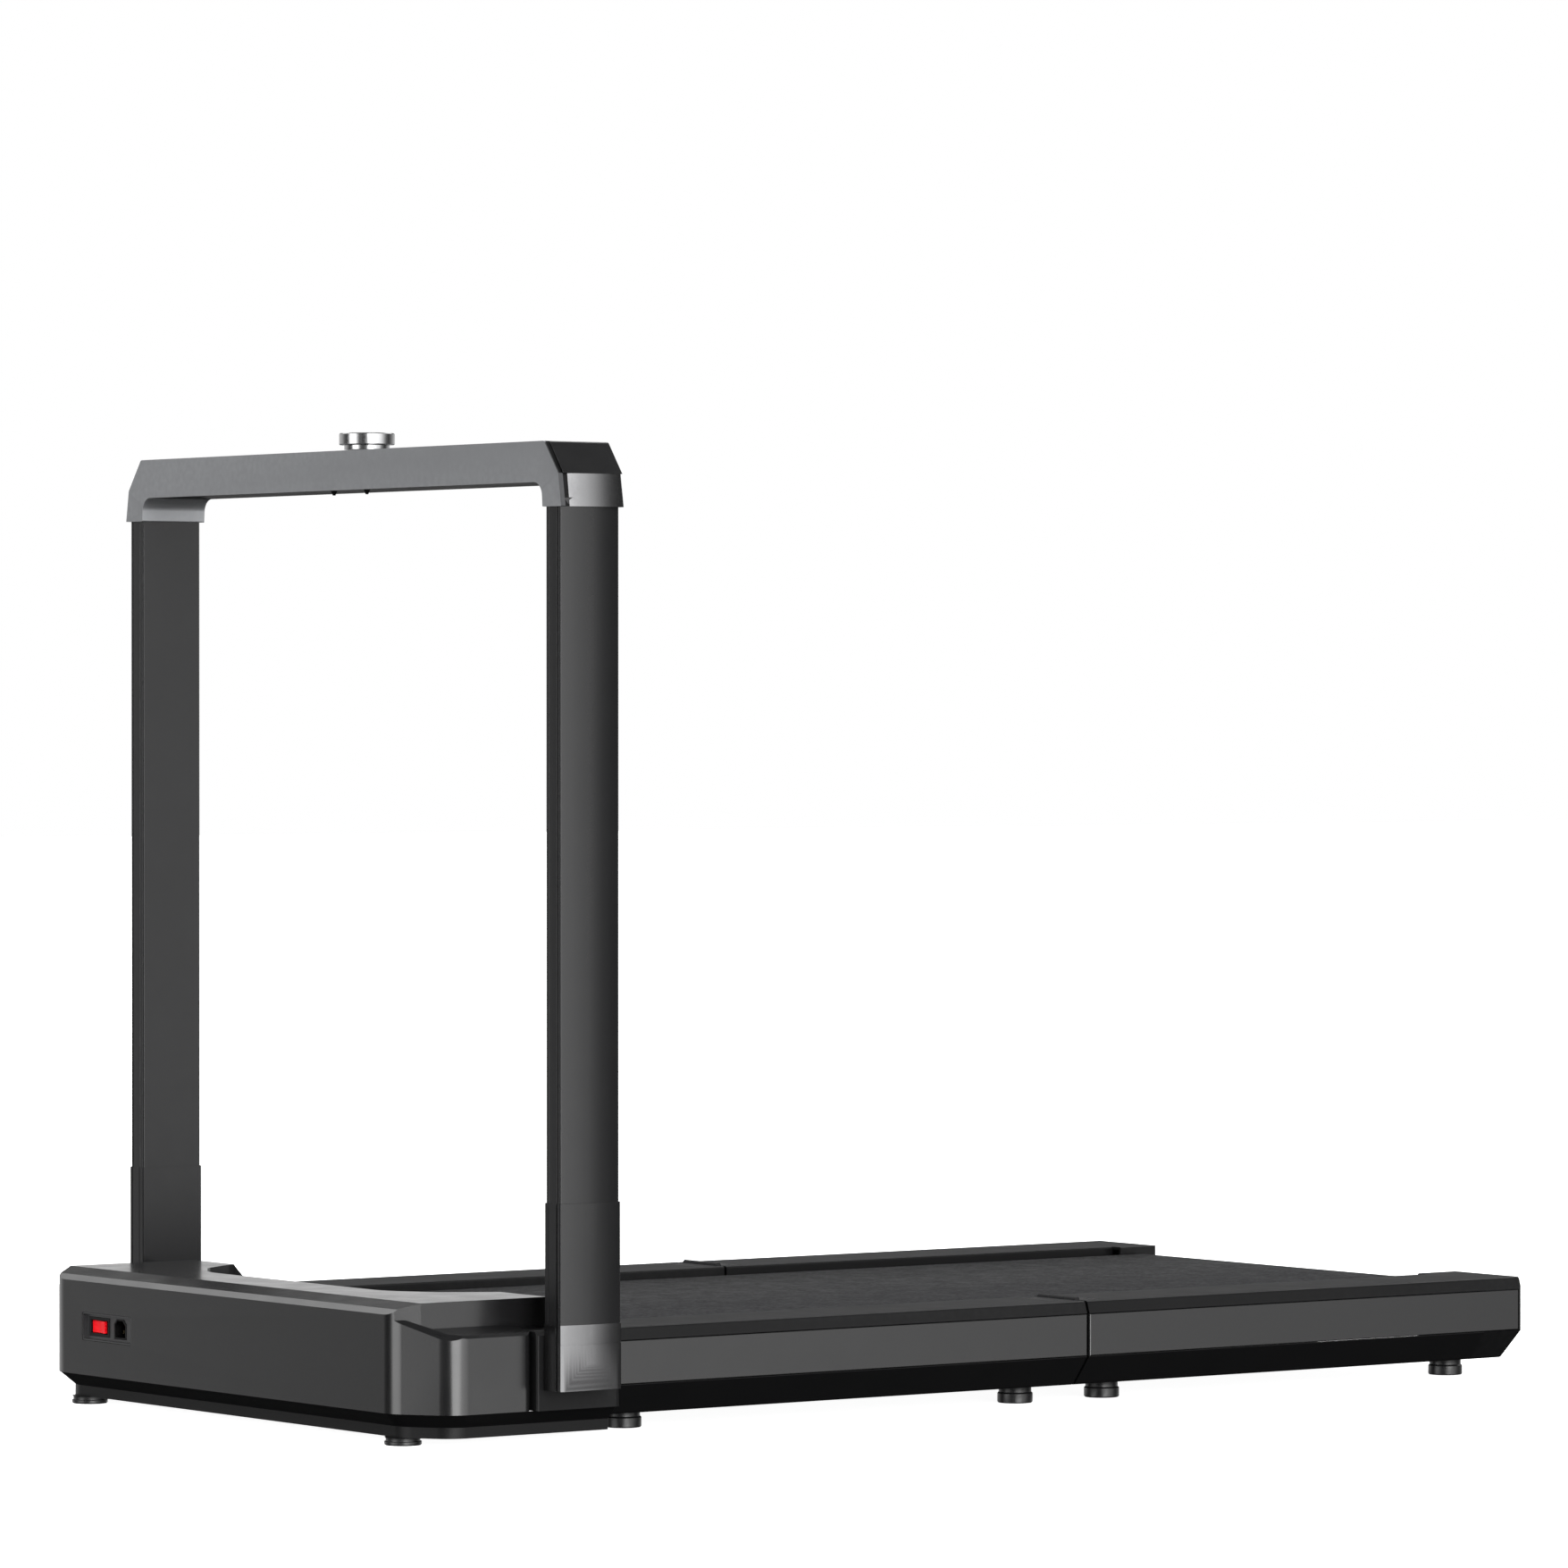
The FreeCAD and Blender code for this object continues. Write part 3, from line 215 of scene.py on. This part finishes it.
def deck_board_face():
    """Matt resin face of the deck boards, with a slight grain along the deck."""
    finish = Finish("deck_board_resin", (0.020, 0.017, 0.015), 0.62, Specular_IOR_Level=0.06)
    finish.vary_color(finish.noise(0.03, 4.0, (6.0, 0.5, 1.0)), 0.75, 1.3)
    finish.vary_roughness(finish.noise(0.01), 0.56, 0.7)
    return finish.bump(finish.noise(0.003, 4.0, (4.0, 0.4, 1.0)), 0.2, 0.0001)


def foot_rubber(name):
    """Matt black rubber."""
    finish = Finish(name, (0.008, 0.008, 0.0085), 0.34, Specular_IOR_Level=0.4)
    finish.vary_color(finish.noise(0.01), 0.8, 1.25)
    finish.vary_roughness(finish.noise(0.006), 0.3, 0.42)
    return finish.bump(finish.noise(0.0015), 0.3, 0.0001)


def circuit_mask():
    """Green solder mask."""
    finish = Finish("circuit_mask", (0.012, 0.10, 0.04), 0.28)
    finish.vary_color(finish.cells(0.004), 0.6, 1.3)
    finish.vary_roughness(finish.noise(0.004), 0.22, 0.38)
    return finish.bump(finish.cells(0.002), 0.3, 0.0001)


def smoked_lens():
    """Polished dark plastic."""
    finish = Finish("smoked_lens", (0.006, 0.006, 0.007), 0.06, Coat_Weight=0.5, Coat_Roughness=0.04)
    finish.vary_color(finish.noise(0.04), 0.85, 1.15)
    finish.vary_roughness(finish.noise(0.02), 0.05, 0.1)
    return finish.bump(finish.noise(0.02), 0.02, 0.0001)


def rocker_red():
    """Satin red plastic."""
    finish = Finish("rocker_red", (0.80, 0.006, 0.012), 0.4, Specular_IOR_Level=0.15)
    finish.vary_color(finish.noise(0.01), 0.88, 1.08)
    finish.vary_roughness(finish.noise(0.005), 0.36, 0.5)
    return finish.bump(finish.noise(0.001), 0.08, 0.00004)


FINISHES = {
    "hood": moulded("hood_plastic", (0.006, 0.006, 0.0063), 0.22),
    "panel": coated("side_panel_coat", (0.008, 0.008, 0.0082), 0.22),
    "black": moulded("black_plastic", (0.004, 0.004, 0.0042), 0.42, 0.14),
    "bezel": moulded("bezel_plastic", (0.020, 0.020, 0.021), 0.32),
    "rail": moulded("rail_plastic", (0.003, 0.003, 0.0032), 0.35, 0.15),
    "rail_top": moulded("rail_grained", (0.013, 0.013, 0.0136), 0.62, 0.06),
    "post": coated("post_anodised", (0.007, 0.007, 0.0074), 0.24, 0.0, 0.27),
    "silver": brushed("silver_metal", (0.115, 0.115, 0.117), 0.22, ALONG_Z),
    "crossbar": coated("crossbar_paint", (0.235, 0.240, 0.249), 0.36, 0.6),
    "corner": coated("corner_gloss", (0.005, 0.005, 0.0053), 0.22),
    # a darker copy of the crossbar paint: painted shade on the crossbar's sideways faces
    "bar_shaded_side": coated("crossbar_painted_shade_side", (0.045, 0.046, 0.048), 0.36, 0.5),
    # near-black paint standing in for the shade under the crossbar and in the grooves at its ends
    "shade": coated("groove_painted_shade", (0.003, 0.003, 0.0032), 0.5, 0.0, 0.1),
    "knob": brushed("knob_polished", (0.30, 0.30, 0.303), 0.22, ALONG_Z, 1.0, 0.06),
    "steel": brushed("turned_steel", (0.45, 0.45, 0.46), 0.3, ALONG_X),
    "dark_steel": coated("hinge_coat", (0.016, 0.016, 0.0167), 0.58, 0.0, 0.08),
    "frame": coated("frame_powder_coat", (0.014, 0.014, 0.015), 0.5),
    "motor": coated("motor_paint", (0.07, 0.07, 0.073), 0.5, 0.5),
    "sink": brushed("sink_extrusion", (0.6, 0.61, 0.63), 0.34, ALONG_Y),
    "brass": brushed("contact_brass", (0.10, 0.08, 0.045), 0.35, ALONG_Y),
    "belt": belt_rubber(),
    "drive_belt": foot_rubber("drive_belt_rubber"),
    "board": deck_board_face(),
    "foot": foot_rubber("foot_rubber"),
    "circuit": circuit_mask(),
    "lens": smoked_lens(),
    "red": rocker_red(),
}

# node: (finish, edge rounding in millimetres)
LOOKS = {
    "hood_cover": ("hood", 1.8),
    "end_caps": ("rail", 0.8),
    "hood_tray": ("black", 1.2),
    "front_belly_pan": ("black", 0.8),
    "rear_belly_pan": ("black", 0.8),
    "pivot_housings": ("black", 1.2),
    "rocker_frame": ("black", 0.4),
    "inlet_socket": ("black", 0.4),
    "controller_box": ("black", 1.0),
    "crossbar_pegs": ("black", 0.3),
    "friction_washers": ("black", 0),
    "switch_bezel": ("bezel", 0.5),
    "front_rail_cover_left": ("rail", 0.6),
    "front_rail_cover_right": ("rail", 0.6),
    "rear_rail_cover_left": ("rail", 0.6),
    "rear_rail_cover_right": ("rail", 0.6),
    "front_side_panels": ("panel", 0.5),
    "rear_side_panels": ("panel", 0.5),
    "power_rocker": ("red", 0.5),
    "inlet_pins": ("brass", 0.3),
    "post_left": ("post", 0.4),
    "post_right": ("post", 0.4),
    "lower_sleeves": ("post", 0.3),
    "knuckle_left": ("silver", 0.8),
    "knuckle_right": ("silver", 0.8),
    "post_caps": ("silver", 0.5),
    "crossbar": ("crossbar", 0.8),
    "corner_caps": ("corner", 2.2),
    "knob_spindle": ("knob", 0.4),
    "knob_dial": ("knob", 0.3),
    "display_lens": ("lens", 0.3),
    "console_board": ("circuit", 0),
    "drive_belt": ("drive_belt", 0),
    "front_walking_belt": ("belt", 0),
    "rear_walking_belt": ("belt", 0),
    "front_deck_board": ("board", 1.0),
    "rear_deck_board": ("board", 1.0),
    "front_frame_rails": ("frame", 1.0),
    "rear_frame_rails": ("frame", 1.0),
    "front_crossbeams": ("frame", 1.0),
    "rear_crossbeams": ("frame", 1.0),
    "motor_cradle": ("frame", 0.5),
    "front_roller": ("steel", 0.6),
    "rear_roller": ("steel", 0.6),
    "front_roller_axle": ("steel", 0.5),
    "rear_roller_axle": ("steel", 0.5),
    "front_roller_bearings": ("steel", 0.3),
    "rear_roller_bearings": ("steel", 0.3),
    "pivot_pins": ("steel", 0.5),
    "hinge_pins": ("dark_steel", 0.2),
    "tension_bolts": ("steel", 0.3),
    "motor_rotor": ("steel", 0.3),
    "hinge_leaves_front": ("dark_steel", 0.4),
    "hinge_leaves_rear": ("dark_steel", 0.4),
    "motor_housing": ("motor", 0.6),
    "motor_pulley": ("motor", 0),
    "front_roller_pulley": ("motor", 0),
    "controller_heat_sink": ("sink", 0),
    "front_feet": ("foot", 0.3),
    "rear_feet": ("foot", 0.3),
}


WELD_GAP = 1e-6
EDGE_ANGLE = 24
HOOD_EDGE_ANGLE = 15


def dress(node, finish, rounding):
    """Gives a CAD node its finish, and small round edges that catch the light."""
    obj = NODES[node]
    obj.data.materials.clear()
    obj.data.materials.append(FINISHES[finish].material)
    weld = obj.modifiers.new("join_faces", "WELD")
    weld.merge_threshold = WELD_GAP
    if rounding:
        bevel = obj.modifiers.new("round_edges", "BEVEL")
        bevel.width = rounding * MM
        bevel.segments = 3
        bevel.limit_method = "ANGLE"
        bevel.angle_limit = math.radians(HOOD_EDGE_ANGLE if node == "hood_cover" else EDGE_ANGLE)
        bevel.use_clamp_overlap = True
        normals = obj.modifiers.new("flat_faces", "WEIGHTED_NORMAL")
        normals.mode = "FACE_AREA"
        normals.weight = 100
    for face in obj.data.polygons:
        face.use_smooth = True


def paint(node, finish, wanted):
    """Gives the faces of a CAD node that wanted(centre, normal) picks a second finish."""
    obj = NODES[node]
    obj.data.materials.append(FINISHES[finish].material)
    place = obj.matrix_world
    turn = place.to_3x3()
    for face in obj.data.polygons:
        if wanted(place @ face.center, (turn @ face.normal).normalized()):
            face.material_index = len(obj.data.materials) - 1


HOOD_FRONT = CAD_BOX[0][1]
# the crossbar's plain middle, and its corners: where the front plate ends, above and below CORNER_Z
BAR_HALF = 0.330
CORNER_Z = 0.8755
PLATE_REAR = (HOOD_FRONT + 0.1297, HOOD_FRONT + 0.1335)
PLATE_SLACK = 0.0001
CAP_DARK_Z = 0.0488
RAIL_COVERS = (
    "front_rail_cover_left", "front_rail_cover_right", "rear_rail_cover_left", "rear_rail_cover_right",
)


def outward(centre, normal, least):
    """Whether a face looks away from the middle of the object, sideways."""
    return normal.x * centre.x > 0 and abs(normal.x) > least


def upward(centre, normal):
    return normal.z > 0.9


def crossbar_shade(centre, normal):
    """Picks the faces painted near-black as shade: the crossbar's underside, and its thinner ends behind the
    front plate.
    """
    if abs(centre.x) < BAR_HALF:
        return normal.z < -0.7
    past_plate = centre.y - (PLATE_REAR[0] if centre.z > CORNER_Z else PLATE_REAR[1])
    if past_plate > PLATE_SLACK:
        return outward(centre, normal, 0.3)
    return abs(past_plate) < PLATE_SLACK and normal.y > 0.9


for name, (finish, rounding) in LOOKS.items():
    dress(name, finish, rounding)
# paints the crossbar's sideways faces with the darker copy of its paint, as painted shade
paint("crossbar", "bar_shaded_side", lambda centre, normal: outward(centre, normal, 0.7))
# paints the crossbar's underside and the grooves at its ends near-black, as painted shade
paint("crossbar", "shade", crossbar_shade)
for topped in (*RAIL_COVERS, "end_caps"):
    paint(topped, "rail_top", upward)
paint("end_caps", "black", lambda centre, normal: centre.z < CAP_DARK_Z or normal.z < -0.2)


# ---- pieces in place of CAD nodes, and the fasteners ----

def made(name, bm, finish):
    """One object from a bmesh, with its finish in its material slot."""
    bmesh.ops.recalc_face_normals(bm, faces=bm.faces)
    mesh = bpy.data.meshes.new(name)
    bm.to_mesh(mesh)
    bm.free()
    mesh.materials.append(FINISHES[finish].material)
    obj = bpy.data.objects.new(name, mesh)
    bpy.context.scene.collection.objects.link(obj)
    return obj


SEAM_Y = JOINTS["deck_fold"]["pos_m"][1]
BEND_HALF = 0.016
BELT_HALF = 0.233
BELT_THICK = 0.002
BELT_EDGE = 0.0005
ROLLER_WRAP = 0.0223
ROLLER_Z = JOINTS["front_roller_spin"]["pos_m"][2]
ROLLER_Y = (JOINTS["front_roller_spin"]["pos_m"][1], JOINTS["rear_roller_spin"]["pos_m"][1])


def belt_stations():
    """(y, z, outward y, outward z) round the loop, close together where it bends at the seam."""
    def run():
        bend = [SEAM_Y - BEND_HALF + 2 * BEND_HALF * i / 24 for i in range(25)]
        far = [ROLLER_Y[0] + (bend[0] - ROLLER_Y[0]) * i / 6 for i in range(6)]
        return far + bend + [bend[-1] + (ROLLER_Y[1] - bend[-1]) * i / 6 for i in range(1, 7)]

    def turn(y, start):
        for i in range(1, 20):
            angle = math.radians(start - 9 * i)
            out = (math.cos(angle), math.sin(angle))
            yield y + ROLLER_WRAP * out[0], ROLLER_Z + ROLLER_WRAP * out[1], *out

    stations = [(y, ROLLER_Z + ROLLER_WRAP, 0, 1) for y in run()]
    stations += turn(ROLLER_Y[1], 90)
    stations += [(y, ROLLER_Z - ROLLER_WRAP, 0, -1) for y in reversed(run())]
    stations += turn(ROLLER_Y[0], 270)
    return stations


def walking_belt():
    """One endless belt with a slightly rounded edge, its rings close together at the seam where the deck
    folds.
    """
    inner_x = BELT_HALF - BELT_EDGE
    inner_z = BELT_THICK - BELT_EDGE
    section = [
        (-BELT_HALF, BELT_EDGE), (-BELT_HALF, inner_z), (-inner_x, BELT_THICK), (inner_x, BELT_THICK),
        (BELT_HALF, inner_z), (BELT_HALF, BELT_EDGE), (inner_x, 0.0), (-inner_x, 0.0),
    ]
    bm = bmesh.new()
    rings = []
    for y, z, out_y, out_z in belt_stations():
        ring = [bm.verts.new((x, y - inward * out_y, z - inward * out_z)) for x, inward in section]
        rings.append(ring)
    for ring, following in zip(rings, rings[1:] + rings[:1]):
        for i in range(len(section)):
            j = (i + 1) % len(section)
            face = bm.faces.new((ring[i], ring[j], following[j], following[i]))
            face.smooth = abs(section[i][0] - section[j][0]) > 0.1
    belt = made("walking_belt", bm, "belt")
    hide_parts("front_walking_belt", "rear_walking_belt")
    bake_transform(belt)


# screw heads as (radius, height) pairs, the hexagonal socket's half width, and its depth
PAN_HEAD = [(0.0036, 0.0), (0.0036, 0.0006), (0.0031, 0.0014), (0.0022, 0.0019)]
FLAT_HEAD = [(0.0014, -0.0023), (0.0035, -0.0004), (0.0037, -0.0001)]
SOCKET_HALF = 0.0011
SOCKET_DEPTH = 0.0008


def turned(profile, segments=24):
    """A lathed screw head about Z, with a hexagonal socket in its top."""
    bm = bmesh.new()
    rings = []
    top = profile[-1][1]
    for radius, z in profile + [(SOCKET_HALF, top), (SOCKET_HALF, top - SOCKET_DEPTH)]:
        ring = []
        for i in range(segments):
            angle = 2 * math.pi * i / segments
            reach = radius
            if radius == SOCKET_HALF:
                reach /= math.cos((angle + math.pi / 6) % (math.pi / 3) - math.pi / 6)
            ring.append(bm.verts.new((reach * math.cos(angle), reach * math.sin(angle), z)))
        rings.append(ring)
    for ring, following in zip(rings, rings[1:]):
        for i in range(segments):
            j = (i + 1) % segments
            bm.faces.new((ring[i], ring[j], following[j], following[i]))
    bm.faces.new(rings[0])
    bm.faces.new(rings[-1])
    return bm


def screw(name, place, body, profile, facing_down=False):
    """One screw head at place, riding on its body."""
    obj = made(name, turned(profile), "dark_steel")
    turn = Matrix.Rotation(math.pi, 4, "X") if facing_down else Matrix.Identity(4)
    obj.matrix_world = Matrix.Translation(place) @ turn
    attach(obj, body)


def underside_screws():
    """Pan heads that hold the tray and the two belly pans."""
    pans = (
        ("tray_screw", "front_deck", 0.0075, (0.060, 0.190), (-0.230, 0.0, 0.230)),
        ("front_belly_screw", "front_deck", 0.020, (0.240, 0.480, 0.715), (-0.285, 0.0, 0.285)),
        ("rear_belly_screw", "rear_deck", 0.020, (0.808, 1.010, 1.235), (-0.285, 0.0, 0.285)),
    )
    for name, body, z, depths, xs in pans:
        for i, depth in enumerate(depths):
            for j, x in enumerate(xs):
                place = Vector((x, HOOD_FRONT + depth, z))
                screw(f"{name}_{i}_{j}", place, body, PAN_HEAD, True)


def hinge_screws():
    """Countersunk screws in the four hinge leaves, flush with the rail tops."""
    for body, offset in (("front_deck", -0.020), ("rear_deck", 0.020)):
        for i, x in enumerate((-0.310, -0.272, 0.272, 0.310)):
            place = Vector((x, SEAM_Y + offset, 0.101))
            screw(f"hinge_screw_{body}_{i}", place, body, FLAT_HEAD)


walking_belt()
underside_screws()
hinge_screws()


# ---- camera, floor and light ----

LENS = 181.7
SENSOR = 36.0
CAMERA_AZIMUTH = 53.617
CAMERA_PITCH = 0.512
CAMERA_PLACE = (6.2133, -4.5824, 0.6594)


def camera():
    """A long lens, nearly level, from the front left corner."""
    data = bpy.data.cameras.new("camera")
    data.lens = LENS
    data.sensor_width = SENSOR
    data.clip_end = 60
    obj = bpy.data.objects.new("camera", data)
    bpy.context.scene.collection.objects.link(obj)
    azimuth = math.radians(CAMERA_AZIMUTH)
    pitch = math.radians(CAMERA_PITCH)
    level = math.cos(pitch)
    look = Vector((-math.sin(azimuth) * level, math.cos(azimuth) * level, -math.sin(pitch)))
    obj.rotation_euler = look.to_track_quat("-Z", "Y").to_euler()
    obj.location = CAMERA_PLACE
    bpy.context.scene.camera = obj


# direction round the object in degrees, from its front towards its left, and brightness
SKY = (
    (-180, 0.0), (-75, 0.0), (-61, 0.5), (-54, 0.4), (-45, 0.1), (-38, 0.05), (-22, 0.05), (-17, 5.0),
    (9, 5.0), (14, 1.6), (21, 0.25), (44, 0.05), (59, 0.1), (64, 9.0), (86, 9.0), (96, 4.0), (112, 3.2),
    (122, 2.3), (128, 1.5), (133, 0.85), (140, 0.4), (150, 0.15), (157, 0.05), (180, 0.0),
)
# the white backdrop behind the object, and its brightness by the sine of the elevation
BACKDROP = ((-180, 0.6), (-160, 1.0), (-75, 1.0), (-61, 0.2), (-52, 0.0), (160, 0.0), (178, 0.5), (180, 0.6))
BACKDROP_RISE = ((0.0, 1.0), (0.17, 1.0), (0.24, 0.12), (0.46, 0.12), (0.52, 2.6), (0.74, 2.6), (0.8, 0.0))
SKY_PEAK = 9.0
RISE_PEAK = 3.0
TOP_LIGHT = 0.15
FLOOR_GLOW = 0.95


def sky():
    """Tall softboxes round a dark room with a white backdrop; the camera sees only white."""
    world = bpy.data.worlds.new("studio")
    world.use_nodes = True
    tree = world.node_tree

    def node(kind, **settings):
        new = tree.nodes.new(kind)
        for key, value in settings.items():
            setattr(new, key, value)
        return new

    def math_node(operation, first, second):
        new = node("ShaderNodeMath", operation=operation)
        for socket, value in zip(new.inputs, (first, second)):
            if isinstance(value, (int, float)):
                socket.default_value = value
            else:
                tree.links.new(value, socket)
        return new.outputs[0]

    xyz = node("ShaderNodeSeparateXYZ")
    tree.links.new(node("ShaderNodeTexCoord").outputs["Generated"], xyz.inputs[0])
    angle = math_node("ARCTAN2", xyz.outputs["X"], math_node("MULTIPLY", xyz.outputs["Y"], -1.0))
    turn = math_node("ADD", math_node("DIVIDE", angle, 2 * math.pi), 0.5)

    def smooth(source, start, end, low, high):
        mapped = node("ShaderNodeMapRange", interpolation_type="SMOOTHSTEP")
        for name, value in (("From Min", start), ("From Max", end), ("To Min", low), ("To Max", high)):
            mapped.inputs[name].default_value = value
        tree.links.new(source, mapped.inputs["Value"])
        return mapped.outputs[0]

    def ramp(source, stops, peak, start, span):
        mapped = node("ShaderNodeValToRGB")
        elements = mapped.color_ramp.elements
        for _ in stops[2:]:
            elements.new(0.5)
        for element, (where, value) in zip(elements, stops):
            element.position = (where - start) / span
            element.color = (value / peak,) * 3 + (1.0,)
        tree.links.new(source, mapped.inputs["Fac"])
        return math_node("MULTIPLY", mapped.outputs["Color"], peak)

    sides = ramp(turn, SKY, SKY_PEAK, -180, 360)
    rise = ramp(xyz.outputs["Z"], BACKDROP_RISE, RISE_PEAK, 0.0, 1.0)
    backdrop = math_node("MULTIPLY", ramp(turn, BACKDROP, 1.0, -180, 360), rise)
    low = smooth(xyz.outputs["Z"], 0.66, 0.86, 1.0, 0.0)
    high = math_node("MULTIPLY", math_node("SUBTRACT", 1.0, low), TOP_LIGHT)
    lit = math_node("ADD", math_node("MULTIPLY", sides, low), high)
    lit = math_node("ADD", lit, backdrop)
    light = math_node("MULTIPLY", lit, smooth(xyz.outputs["Z"], -0.30, -0.12, 0.02, 1.0))
    seen = node("ShaderNodeLightPath").outputs["Is Camera Ray"]
    strength = math_node("MAXIMUM", math_node("MULTIPLY", light, math_node("SUBTRACT", 1.0, seen)), seen)
    tree.links.new(strength, tree.nodes["Background"].inputs["Strength"])
    tree.nodes["Background"].inputs["Color"].default_value = (1, 1, 1, 1)
    bpy.context.scene.world = world


def studio():
    """The world's light and a pale floor that reflections and shadows don't see."""
    bpy.ops.mesh.primitive_plane_add(size=60)
    floor = bpy.context.object
    floor.name = "floor"
    pale = Finish("floor_pale", (0.88, 0.88, 0.88), 0.8, Specular_IOR_Level=0.1)
    pale.vary_roughness(pale.noise(0.5), 0.75, 0.85)
    pale.shader.inputs["Emission Color"].default_value = (1, 1, 1, 1)
    pale.shader.inputs["Emission Strength"].default_value = FLOOR_GLOW
    floor.data.materials.append(pale.material)
    floor.visible_glossy = False
    floor.visible_diffuse = False
    floor.visible_shadow = False
    sky()
    bpy.context.scene.view_settings.view_transform = "Standard"


camera()
studio()
